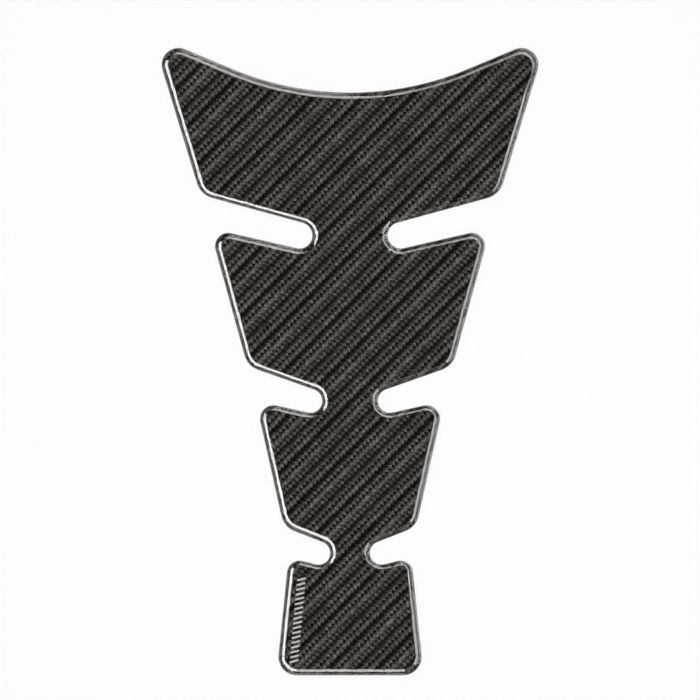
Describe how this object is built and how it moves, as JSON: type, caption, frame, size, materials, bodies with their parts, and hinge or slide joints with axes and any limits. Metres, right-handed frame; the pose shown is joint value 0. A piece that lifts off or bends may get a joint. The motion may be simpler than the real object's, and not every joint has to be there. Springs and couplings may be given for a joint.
{
  "type": "motorcycle tank pad",
  "caption": "Notched stick-on tank protector with a concave top edge: printed carbon-look film under a clear, round-edged resin dome.",
  "frame": {"origin": "on the adhesive back, under the middle of the pad's length and width", "axes": "+Y along the length towards the wide concave end, +X across, +Z out of the resin dome"},
  "size_m": [0.13, 0.2164, 0.0019],
  "materials": {
    "film_print": "printed dark carbon twill",
    "clear_resin": "clear high gloss"
  },
  "bodies": {
    "root": {"printed_film": "film_print", "resin_dome": "clear_resin"}
  },
  "joints": []
}
